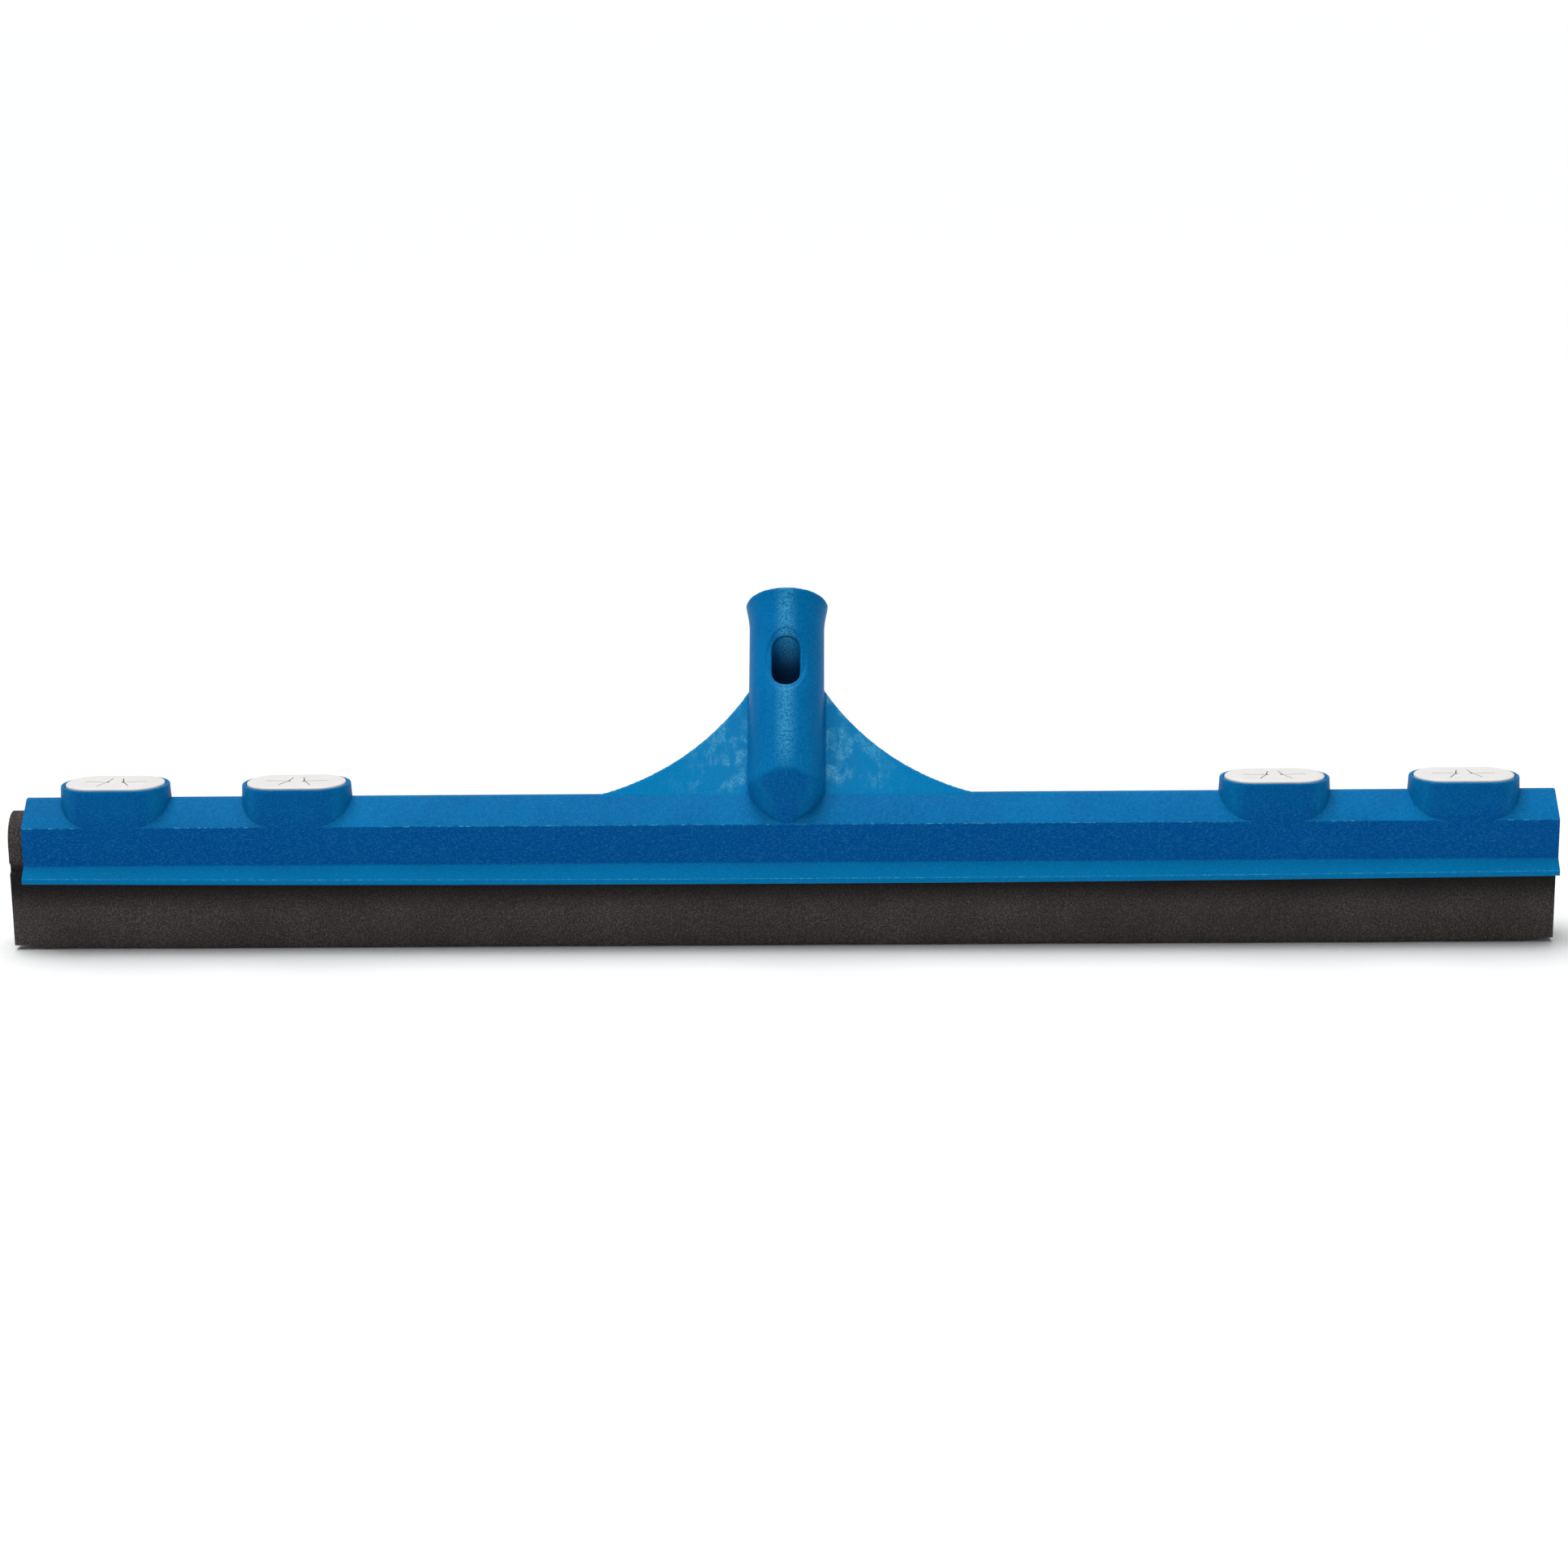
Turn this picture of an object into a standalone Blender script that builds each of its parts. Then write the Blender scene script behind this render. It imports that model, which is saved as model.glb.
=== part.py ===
"""Floor squeegee head: a long moulded channel that holds a folded foam blade, with a leaning
handle socket in the middle and four cups whose slit membranes grip the ends of a floor cloth.

Metres, +Z up, +X along the blade, front towards -Y. The origin is in the middle of the front
lip's foot, on the floor. The shapes are drawn about the channel's middle plane, and one empty
sets that plane back from the origin.
"""

from math import asin, cos, hypot, pi, radians, sin, sqrt, tan

import bmesh
import bpy
from mathutils import Matrix, Vector

GAP = 0.0003

# Channel, measured from its middle plane (half widths) and from the floor (heights)
FRAME_LENGTH = 0.594
WALL = 0.0025
WALL_HALF = 0.0132
FLAT_HALF = 0.0015
TOP_Z = 0.0586
RIDGE_Z = 0.0497
FOOT_Z = 0.0345
LIP_HALF = 0.0175
LIP_Z = 0.0270
LIP_EDGE = 0.0020
LIP_ARCH = 0.0014
LIP_STATIONS = 12
JAW_HALF = 0.0092
JAW_Z = 0.0330
JAW_HEIGHT = 0.0020

# Foam blade and the core bar inside its fold
BLADE_LENGTH = 0.600
BLADE_SHIFT = -0.0032
BLADE_HALF = 0.0104
BLADE_SHOULDER_Z = 0.0424
BLADE_CROWN = 0.0110
LIP_GAP_HALF = 0.0044
LIP_GAP_Z = 0.0290
BULB_R = 0.0052
BULB_Z = 0.0410
STEM_HALF = 0.0034
STEM_Z = 0.0305
CORE_LENGTH = 0.584
FOLD_GAP = 0.0004

# Handle socket
LEAN = radians(39)
SOCKET_R = 0.0148
MOUTH_R = 0.01635
AXIS_Z = 0.0652
MOUTH_S = 0.0752
FLARE_LENGTH = 0.0105
BORE_MOUTH_R = 0.0122
BORE_END_R = 0.0112
BORE_END_S = 0.0035
SLOT_S = 0.0443
SLOT_WIDTH = 0.0113
SLOT_LENGTH = 0.0216
NOSE_HALF = 0.01485

# Webs
WEB_HALF = 0.0750
WEB_HEIGHT = 0.0452
WEB_THICKNESS = 0.0030
WEB_BEND = (0.0366, 0.0108)

# Cups and their membranes
CUP_X = (-0.262, -0.191, 0.189, 0.262)
CUP_STRAIGHT = 0.0083
CUP_R = 0.0129
CUP_WALL = 0.0016
CUP_Z = 0.0642
LEDGE_Z = 0.0612
LEDGE = 0.0020
DECK_HOLE_R = 0.0070
MEMBRANE_Z = 0.0649
MEMBRANE_THICKNESS = 0.0015
BEAD = 0.0025

# Slit star of a membrane: centre beside the bridge, and its three arm tips from that centre
STAR_X = 0.0030
ARM_OUT = (0.0093, 0.0008)
ARM_FRONT = (0.0030, -0.0063)
ARM_BACK = (-0.0012, 0.0056)
FLAP_BEND = radians(50)

SLOPE = (TOP_Z - RIDGE_Z) / (WALL_HALF - FLAT_HALF)
AXIS = Vector((0, sin(LEAN), cos(LEAN)))
CROSS = Vector((0, -cos(LEAN), sin(LEAN)))
BLUE = ((0.004, 0.165, 0.423, 1), 0.38)
WHITE = ((0.72, 0.72, 0.70, 1), 0.5)
CHARCOAL = ((0.036, 0.032, 0.030, 1), 0.95)
GREY = ((0.20, 0.21, 0.22, 1), 0.5)


def clear_scene():
    for old in list(bpy.data.objects):
        bpy.data.objects.remove(old, do_unlink=True)


def new_collection(name):
    made = bpy.data.collections.new(name)
    bpy.context.scene.collection.children.link(made)
    return made


def new_material(name, look):
    colour, roughness = look
    made = bpy.data.materials.new(name)
    made.use_nodes = True
    shader = made.node_tree.nodes["Principled BSDF"]
    shader.inputs["Base Color"].default_value = colour
    shader.inputs["Roughness"].default_value = roughness
    shader.inputs["Metallic"].default_value = 0.0
    return made


def place(obj, parent, look):
    """Puts a finished piece in the squeegee's collection, under its parent, with its material."""
    for owner in list(obj.users_collection):
        owner.objects.unlink(obj)
    squeegee.objects.link(obj)
    obj.parent = parent
    obj.data.materials.clear()
    obj.data.materials.append(new_material(obj.name, look))
    return obj


def cutter(obj):
    for owner in list(obj.users_collection):
        owner.objects.unlink(obj)
    cutters.objects.link(obj)
    obj.parent = middle
    obj.hide_render = True
    obj.display_type = "WIRE"
    return obj


def boolean(obj, tool, operation="DIFFERENCE"):
    step = obj.modifiers.new(operation.lower() + "_" + tool.name, "BOOLEAN")
    step.operation = operation
    step.object = tool
    step.solver = "EXACT"


def outline_solid(name, points, depth, matrix):
    """A flat outline, drawn in its local XY, made `depth` thick about that plane and turned by matrix."""
    curve = bpy.data.curves.new(name, "CURVE")
    curve.dimensions = "2D"
    curve.fill_mode = "BOTH"
    curve.extrude = depth / 2
    spline = curve.splines.new("POLY")
    spline.points.add(len(points) - 1)
    for point, (x, y) in zip(spline.points, points):
        point.co = (x, y, 0, 1)
    spline.use_cyclic_u = True
    drawn = bpy.data.objects.new(name + "_outline", curve)
    bpy.context.scene.collection.objects.link(drawn)
    bpy.context.view_layer.update()
    mesh = bpy.data.meshes.new_from_object(drawn.evaluated_get(bpy.context.evaluated_depsgraph_get()))
    bpy.data.objects.remove(drawn)
    bm = bmesh.new()
    bm.from_mesh(mesh)
    bmesh.ops.remove_doubles(bm, verts=bm.verts, dist=0.000001)
    bmesh.ops.transform(bm, matrix=matrix, verts=bm.verts)
    bmesh.ops.recalc_face_normals(bm, faces=bm.faces)
    bm.to_mesh(mesh)
    bm.free()
    mesh.name = name
    made = bpy.data.objects.new(name, mesh)
    bpy.context.scene.collection.objects.link(made)
    return made


def along_x(x):
    """Turns an outline drawn as (y, z) so that its thickness runs along X, centred on x."""
    return Matrix(((0, 0, 1, x), (1, 0, 0, 0), (0, 1, 0, 0), (0, 0, 0, 1)))


def upright(x, low, high):
    return Matrix.Translation((x, 0, (low + high) / 2))


def leaning(s, offset):
    """Turns an outline drawn as (x, along the socket) into the socket's leaning plane."""
    origin = Vector((0, 0, AXIS_Z)) + s * AXIS + offset * CROSS
    turn = Matrix((Vector((1, 0, 0)), AXIS, -CROSS)).transposed().to_4x4()
    return Matrix.Translation(origin) @ turn


def mirrored(points):
    """A closed outline from its +Y half, which runs from the middle plane to the middle plane."""
    return points + [(-y, z) for y, z in reversed(points) if y > 0.00001]


def arc(centre, radii, start, end, steps):
    turns = [start + (end - start) * k / steps for k in range(steps + 1)]
    return [(centre[0] + radii[0] * cos(a), centre[1] + radii[1] * sin(a)) for a in turns]


def stadium(straight, radius, steps=14):
    right = arc((straight, 0), (radius, radius), -pi / 2, pi / 2, steps)
    return right + arc((-straight, 0), (radius, radius), pi / 2, 3 * pi / 2, steps)


def stadium_solid(name, straight, radius, low, high, x=0.0):
    return outline_solid(name, stadium(straight, radius), high - low, upright(x, low, high))


def make_channel():
    roof_drop = WALL * hypot(1, SLOPE)
    inner_half = WALL_HALF - WALL
    roof_top = TOP_Z - WALL
    roof_flat = (RIDGE_Z + WALL_HALF * SLOPE - roof_drop - roof_top) / SLOPE
    half = [
        (FLAT_HALF, TOP_Z),
        (WALL_HALF, RIDGE_Z),
        (WALL_HALF, FOOT_Z),
        (LIP_HALF - 0.0002, LIP_Z + LIP_EDGE),
        (LIP_HALF, LIP_Z),
        (LIP_HALF - 0.0021, LIP_Z),
        (LIP_HALF - 0.0023, LIP_Z + 0.0012),
        (inner_half + 0.0012, JAW_Z - JAW_HEIGHT / 2 - 0.0002),
        (JAW_HALF, JAW_Z - JAW_HEIGHT / 2),
        (JAW_HALF, JAW_Z + JAW_HEIGHT / 2),
        (inner_half, JAW_Z + JAW_HEIGHT / 2 + 0.0006),
        (inner_half, RIDGE_Z + WALL * SLOPE - roof_drop),
        (roof_flat, roof_top),
    ]
    channel = outline_solid("channel_frame", mirrored(half), FRAME_LENGTH, along_x(0))
    bm = bmesh.new()
    bm.from_mesh(channel.data)
    for k in range(1, LIP_STATIONS):
        x = FRAME_LENGTH * (k / LIP_STATIONS - 0.5)
        everything = bm.verts[:] + bm.edges[:] + bm.faces[:]
        bmesh.ops.bisect_plane(bm, geom=everything, dist=1e-7, plane_co=(x, 0, 0), plane_no=(1, 0, 0))
    for vert in bm.verts:
        if vert.co.z < LIP_Z + LIP_EDGE + GAP:
            vert.co.z += LIP_ARCH * (2 * vert.co.x / FRAME_LENGTH) ** 2
    bm.to_mesh(channel.data)
    bm.free()
    for k, x in enumerate(CUP_X, start=1):
        hole = stadium_solid(f"deck_hole_{k}", CUP_STRAIGHT, DECK_HOLE_R, RIDGE_Z - WALL, CUP_Z, x)
        boolean(channel, cutter(hole))
    return place(channel, middle, BLUE)


def make_deck_cutter():
    """The channel's pitched deck, raised by the gap, which trims whatever stands on it."""
    reach = 0.040
    lift = GAP * hypot(1, SLOPE)
    edge_z = RIDGE_Z + (WALL_HALF - reach) * SLOPE + lift
    outline = [(FLAT_HALF, TOP_Z + lift), (reach, edge_z), (reach, 0), (-reach, 0)]
    outline += [(-reach, edge_z), (-FLAT_HALF, TOP_Z + lift)]
    return cutter(outline_solid("deck_cutter", outline, FRAME_LENGTH + 0.05, along_x(0)))


def socket_profile():
    """(radius, place along the axis), from the rim's outer side down, and back up the bore."""
    steps = 6
    flare = []
    for k in range(steps + 1):
        part = 1 - k / steps
        grown = (MOUTH_R - SOCKET_R) * part ** 1.7
        flare.append((SOCKET_R + grown, MOUTH_S - 0.0008 - FLARE_LENGTH * (1 - part)))
    rim = [(BORE_MOUTH_R + 0.0008, MOUTH_S), (MOUTH_R - 0.0006, MOUTH_S)]
    foot = [(SOCKET_R, -0.030), (0, -0.030)]
    bore = [(0, BORE_END_S), (BORE_END_R, BORE_END_S), (BORE_MOUTH_R, MOUTH_S - 0.0010)]
    return rim + flare + foot + bore


def make_turned(name, profile, steps):
    """Turns a profile of (radius, place along the axis) about the socket's leaning axis."""
    bm = bmesh.new()
    verts = [bm.verts.new((r, 0, s)) for r, s in profile]
    for k, vert in enumerate(verts):
        after = verts[(k + 1) % len(verts)]
        if vert.co.x > 0 or after.co.x > 0:
            bm.edges.new((vert, after))
    mesh = bpy.data.meshes.new(name)
    bm.to_mesh(mesh)
    bm.free()
    made = bpy.data.objects.new(name, mesh)
    bpy.context.scene.collection.objects.link(made)
    made.location = (0, 0, AXIS_Z)
    made.rotation_euler = (-LEAN, 0, 0)
    turn = made.modifiers.new("turn", "SCREW")
    turn.steps = steps
    turn.render_steps = steps
    turn.use_merge_vertices = True
    turn.merge_threshold = 0.00001
    return made


def make_socket(deck_cutter):
    socket = make_turned("handle_socket", socket_profile(), 40)
    wide = 2 * MOUTH_R
    nose = arc((0, 0), (NOSE_HALF, WALL_HALF - GAP), pi, 2 * pi, 24)
    plan = nose + [(NOSE_HALF, 0.018), (wide, 0.024), (wide, 0.120)]
    plan += [(-wide, 0.120), (-wide, 0.024), (-NOSE_HALF, 0.018)]
    nose_keep = outline_solid("nose_keep", plan, 0.160, upright(0, 0.020, 0.180))
    boolean(socket, cutter(nose_keep), "INTERSECT")
    boolean(socket, deck_cutter)
    slot_end = SLOT_WIDTH / 2
    slot_points = [(y, x) for x, y in stadium(SLOT_LENGTH / 2 - slot_end, slot_end)]
    slot = outline_solid("slot_cutter", slot_points, 0.012, leaning(SLOT_S, 0.0148))
    boolean(socket, cutter(slot))
    return place(socket, middle, BLUE)


def make_webs(deck_cutter):
    tube = [(SOCKET_R + GAP, MOUTH_S), (SOCKET_R + GAP, -0.040), (0, -0.040), (0, MOUTH_S)]
    around_socket = cutter(make_turned("socket_clearance", tube, 48))
    deck_front = Vector((0, -FLAT_HALF, TOP_Z - AXIS_Z))
    base_s = deck_front.dot(AXIS)
    front = deck_front.dot(CROSS)
    plane = leaning(base_s, front - WEB_THICKNESS / 2)
    steps = 14
    edge = []
    for k in range(steps + 1):
        t = k / steps
        start, bend, end = (1 - t) ** 2, 2 * t * (1 - t), t ** 2
        x = start * WEB_HALF + bend * WEB_BEND[0] + end * SOCKET_R
        edge.append((x, bend * WEB_BEND[1] + end * WEB_HEIGHT))
    inner = SOCKET_R - 0.004
    outline = [(inner, -0.008), (WEB_HALF, -0.008)] + edge + [(inner, WEB_HEIGHT)]
    for name, side in (("web_left", -1), ("web_right", 1)):
        points = [(side * x, y) for x, y in outline]
        web = outline_solid(name, points, WEB_THICKNESS, plane)
        boolean(web, deck_cutter)
        boolean(web, around_socket)
        place(web, middle, BLUE)


def make_cups(deck_cutter):
    for k, x in enumerate(CUP_X, start=1):
        cup = stadium_solid(f"gripper_cup_{k}", CUP_STRAIGHT, CUP_R, RIDGE_Z - 0.004, CUP_Z, x)
        boolean(cup, deck_cutter)
        seat = stadium_solid(
            f"seat_cutter_{k}", CUP_STRAIGHT, CUP_R - CUP_WALL, LEDGE_Z, CUP_Z + 0.005, x
        )
        boolean(cup, cutter(seat))
        well = stadium_solid(
            f"well_cutter_{k}", CUP_STRAIGHT, CUP_R - CUP_WALL - LEDGE, 0.040, LEDGE_Z + 0.001, x
        )
        boolean(cup, cutter(well))
        place(cup, middle, BLUE)


def star_points(side):
    """The four corners of the opening that one star of slits frees, in order round it."""
    centre = Vector((side * STAR_X, 0))
    tips = [centre + Vector((side * x, y)) for x, y in (ARM_FRONT, ARM_OUT, ARM_BACK)]
    return [centre] + tips


def flap_corners(centre, tip_a, tip_b, slit):
    """A flap's triangle, inside its part of the star by the gap, and by slit on the shared slit."""
    corners = [centre, tip_a, tip_b]
    middle_point = (centre + tip_a + tip_b) / 3
    insets = [GAP, GAP, GAP]
    insets[slit] = GAP / 2
    lines = []
    for k, inset in enumerate(insets):
        start = corners[k]
        along = (corners[(k + 1) % 3] - start).normalized()
        inward = Vector((-along.y, along.x))
        if inward.dot(middle_point - start) < 0:
            inward.negate()
        lines.append((start + inward * inset, along))
    found = []
    for k in range(3):
        point, along = lines[k - 1]
        other, across = lines[k]
        reach = (other - point).cross(across) / along.cross(across)
        found.append(point + along * reach)
    return found


def make_membranes():
    low = MEMBRANE_Z - MEMBRANE_THICKNESS
    plate_r = CUP_R - CUP_WALL - GAP
    for k, x in enumerate(CUP_X, start=1):
        membrane = stadium_solid(f"membrane_{k}", CUP_STRAIGHT, plate_r, LEDGE_Z + GAP, MEMBRANE_Z, x)
        under = stadium_solid(f"under_cutter_{k}", CUP_STRAIGHT, plate_r - BEAD, LEDGE_Z - 0.002, low, x)
        boolean(membrane, cutter(under))
        for side, word in ((-1, "left"), (1, "right")):
            corners = star_points(side)
            hole = outline_solid(
                f"star_cutter_{k}_{word}", corners, 0.008, upright(x, low - 0.003, MEMBRANE_Z + 0.005)
            )
            boolean(membrane, cutter(hole))
            centre, front, out, back = corners
            make_flap(f"flap_{k}_{word}_front", (centre, front, out), 2, x)
            make_flap(f"flap_{k}_{word}_back", (centre, out, back), 0, x)
        place(membrane, middle, WHITE)


def make_flap(name, corners, slit, x):
    """One flap. Its origin is on the hinge line, the chord between its two slit tips, on top.

    The root face leans in below the hinge line, like half of a fold groove, so that the flap
    clears the membrane when it bends down by FLAP_BEND.
    """
    apex, *root = flap_corners(*corners, slit)
    hinge = (root[0] + root[1]) / 2
    local = [(p.x - hinge.x, p.y - hinge.y) for p in (apex, *root)]
    flap = outline_solid(name, local, MEMBRANE_THICKNESS, upright(0, -MEMBRANE_THICKNESS, 0))
    along = (root[1] - root[0]).normalized()
    height = abs((apex - hinge).cross(along))
    lean = MEMBRANE_THICKNESS * tan(FLAP_BEND) / height
    for vert in flap.data.vertices:
        if vert.co.z < 0:
            vert.co.x += (local[0][0] - vert.co.x) * lean
            vert.co.y += (local[0][1] - vert.co.y) * lean
    flap.location = (x + hinge.x, hinge.y, MEMBRANE_Z)
    place(flap, middle, WHITE)


def make_blade():
    """The folded foam strip: two lips below, a fold over the core bar above, a groove each side."""
    bulb = BULB_R + FOLD_GAP
    stem = STEM_HALF + FOLD_GAP
    meet = -asin(sqrt(1 - (stem / bulb) ** 2))
    inner = arc((0, BULB_Z), (bulb, bulb), pi / 2, meet, 10)
    inner += [(stem, LIP_GAP_Z + 0.0015), (LIP_GAP_HALF, LIP_GAP_Z), (LIP_GAP_HALF, 0)]
    bite = JAW_HALF - GAP
    outer = [
        (BLADE_HALF, 0),
        (BLADE_HALF, JAW_Z - JAW_HEIGHT / 2 - 0.0006),
        (bite, JAW_Z - JAW_HEIGHT / 2 - 0.0004),
        (bite, JAW_Z + JAW_HEIGHT / 2 + 0.0003),
        (BLADE_HALF, JAW_Z + JAW_HEIGHT / 2 + 0.0010),
    ]
    outer += arc((0, BLADE_SHOULDER_Z), (BLADE_HALF, BLADE_CROWN), 0, pi / 2, 8)
    blade = outline_solid("foam_blade", mirrored(inner + outer), BLADE_LENGTH, along_x(BLADE_SHIFT))
    return place(blade, middle, CHARCOAL)


def make_core():
    """The bar in the fold: a bulb that the jaws can't let past, on a flat stem."""
    meet = -asin(sqrt(1 - (STEM_HALF / BULB_R) ** 2))
    half = arc((0, BULB_Z), (BULB_R, BULB_R), pi / 2, meet, 10)
    half += [(STEM_HALF, STEM_Z)]
    core = outline_solid("core_bar", mirrored(half), CORE_LENGTH, along_x(BLADE_SHIFT))
    return place(core, middle, GREY)


clear_scene()
squeegee = new_collection("floor_squeegee_head")
cutters = new_collection("cutters")
middle = bpy.data.objects.new("middle_plane", None)
middle.location = (0, (BLADE_HALF + LIP_GAP_HALF) / 2, 0)
squeegee.objects.link(middle)

deck = make_deck_cutter()
make_channel()
make_socket(deck)
make_webs(deck)
make_cups(deck)
make_membranes()
make_blade()
make_core()
bpy.context.view_layer.update()
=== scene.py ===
# Floor squeegee head: fine surfaces and finishes over the fixed frame.
from math import asin, cos, hypot, pi, radians, sin, sqrt, tan

import bmesh
import bpy
from mathutils import Matrix, Vector, noise


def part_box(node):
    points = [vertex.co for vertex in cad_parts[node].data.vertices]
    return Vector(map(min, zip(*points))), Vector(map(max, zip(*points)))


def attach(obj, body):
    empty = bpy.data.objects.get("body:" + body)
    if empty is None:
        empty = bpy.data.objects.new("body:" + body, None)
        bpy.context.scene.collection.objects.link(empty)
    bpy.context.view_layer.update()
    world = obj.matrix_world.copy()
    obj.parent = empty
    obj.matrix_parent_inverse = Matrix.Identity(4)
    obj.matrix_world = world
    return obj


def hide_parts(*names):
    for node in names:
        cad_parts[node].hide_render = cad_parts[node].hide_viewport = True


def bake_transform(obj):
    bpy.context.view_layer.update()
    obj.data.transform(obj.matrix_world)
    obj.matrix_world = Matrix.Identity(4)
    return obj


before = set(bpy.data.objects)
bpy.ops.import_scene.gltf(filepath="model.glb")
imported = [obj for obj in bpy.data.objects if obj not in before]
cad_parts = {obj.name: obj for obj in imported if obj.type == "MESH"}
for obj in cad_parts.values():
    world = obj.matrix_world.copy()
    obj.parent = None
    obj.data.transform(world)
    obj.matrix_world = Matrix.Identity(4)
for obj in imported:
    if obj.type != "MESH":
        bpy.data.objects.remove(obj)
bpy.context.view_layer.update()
mm = 0.001

shellLow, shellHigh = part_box("channel_frame")
midY = (shellLow.y + shellHigh.y) / 2    # the squeegee's middle plane
cups = (1, 2, 3, 4)
cupX = {k: sum(corner.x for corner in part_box(f"gripper_cup_{k}")) / 2 for k in cups}

camera = {"elevation": 14.2, "azimuth": 1.5, "distance": 1.30, "roll": -0.74,
          "lens": 76.8, "aimX": -0.0009, "aimZ": 0.0624}


def makeCamera():
    up, side = radians(camera["elevation"]), radians(camera["azimuth"])
    back = Vector((sin(side) * cos(up), -cos(side) * cos(up), sin(up)))
    made = bpy.data.objects.new("camera", bpy.data.cameras.new("camera"))
    bpy.context.scene.collection.objects.link(made)
    made.data.lens = camera["lens"]
    made.data.clip_end = 100
    made.location = Vector((camera["aimX"], midY, camera["aimZ"])) + back * camera["distance"]
    turn = (-back).to_track_quat("-Z", "Y").to_matrix().to_4x4()
    turn = turn @ Matrix.Rotation(radians(camera["roll"]), 4, "Z")
    made.rotation_euler = turn.to_euler()
    bpy.context.scene.camera = made


makeCamera()
print("camera set")


def colour(code):    # sRGB hex to linear
    parts = [int(code[k:k + 2], 16) / 255 for k in (1, 3, 5)]
    return tuple(c / 12.92 if c <= 0.04045 else ((c + 0.055) / 1.055) ** 2.4 for c in parts) + (1.0,)


def smoothStep(value, low, high):
    t = min(max((value - low) / (high - low), 0), 1)
    return t * t * (3 - 2 * t)


def loft(name, rings, capEnds=True, closed=False):
    # skins rings of equal length in order; closed joins the last to the first
    count, total = len(rings[0]), len(rings)
    faces = []
    for r in range(total if closed else total - 1):
        for k in range(count):
            a, b = r * count + k, r * count + (k + 1) % count
            c, d = (r + 1) % total * count + (k + 1) % count, (r + 1) % total * count + k
            faces.append((a, b, c, d))
    if capEnds and not closed:
        faces += [tuple(range(count)), tuple(range((total - 1) * count, total * count))]
    mesh = bpy.data.meshes.new(name)
    mesh.from_pydata([tuple(p) for ring in rings for p in ring], [], faces)
    bm = bmesh.new()
    bm.from_mesh(mesh)
    bmesh.ops.recalc_face_normals(bm, faces=bm.faces)
    bm.to_mesh(mesh)
    bm.free()
    made = bpy.data.objects.new(name, mesh)
    bpy.context.scene.collection.objects.link(made)
    return made


def bake(piece):    # applies the piece's modifiers
    bpy.context.view_layer.update()
    baked = bpy.data.meshes.new_from_object(piece.evaluated_get(bpy.context.evaluated_depsgraph_get()))
    piece.modifiers.clear()
    piece.data = baked


def combine(piece, tool, operation="DIFFERENCE"):
    step = piece.modifiers.new(operation, "BOOLEAN")
    step.operation, step.object, step.solver = operation, tool, "EXACT"
    bake(piece)
    bpy.data.objects.remove(tool)


def roundedOutline(corners, steps=4):
    # corners are (across, up, radius) in mm, round a closed outline
    found, count = [], len(corners)
    for k, (y, z, radius) in enumerate(corners):
        here = Vector((y, z)) * mm
        if not radius:
            found.append(here)
            continue
        before = Vector(corners[k - 1][:2]) * mm - here
        after = Vector(corners[(k + 1) % count][:2]) * mm - here
        reach = min(radius * mm / tan(before.angle(after) / 2), 0.45 * before.length, 0.45 * after.length)
        start, end = here + before.normalized() * reach, here + after.normalized() * reach
        for j in range(steps + 1):
            t = j / steps
            found.append(start * (1 - t) ** 2 + here * 2 * t * (1 - t) + end * t * t)
    return found


def bothSides(half):
    return half + [(-y, z, *rest) for y, z, *rest in reversed(half) if y > 0.00001]


def stadium(straight, radius, steps=24):
    # (x, y) round an oval with straight sides
    found = []
    for side in (1, -1):
        for k in range(steps + 1):
            turn = pi * (k / steps - 0.5) + (0 if side == 1 else pi)
            found.append((side * straight + radius * cos(turn), radius * sin(turn)))
    return found


def finishPiece(piece, material, body, replaced, sharp=35):
    piece.data.materials.clear()
    piece.data.materials.append(material)
    piece.data.shade_smooth()
    piece.data.set_sharp_from_angle(angle=radians(sharp))
    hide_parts(*replaced)
    if body:
        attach(piece, body)


def paint(piece, name, share):    # keeps a share of 0 or more at each point, for a material to read
    values = piece.data.attributes.new(name, "FLOAT", "POINT").data
    for vert in piece.data.vertices:
        values[vert.index].value = share(vert.co)


def addNode(tree, kind, settings, inputs):
    made = tree.nodes.new("ShaderNode" + kind)
    for key, value in settings.items():
        setattr(made, key, value)
    for key, value in inputs.items():
        if isinstance(value, bpy.types.NodeSocket):
            tree.links.new(value, made.inputs[key])
        else:
            made.inputs[key].default_value = value
    return made


def newMaterial(name, roughness):
    made = bpy.data.materials.new(name)
    made.use_nodes = True
    shader = made.node_tree.nodes["Principled BSDF"]
    shader.inputs["Roughness"].default_value = roughness
    place = addNode(made.node_tree, "TexCoord", {}, {}).outputs["Object"]
    return made, made.node_tree, shader, place


def linkBump(tree, shader, height, depth):
    bump = addNode(tree, "Bump", {}, {"Strength": 1.0, "Distance": depth, "Height": height})
    tree.links.new(bump.outputs["Normal"], shader.inputs["Normal"])


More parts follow.
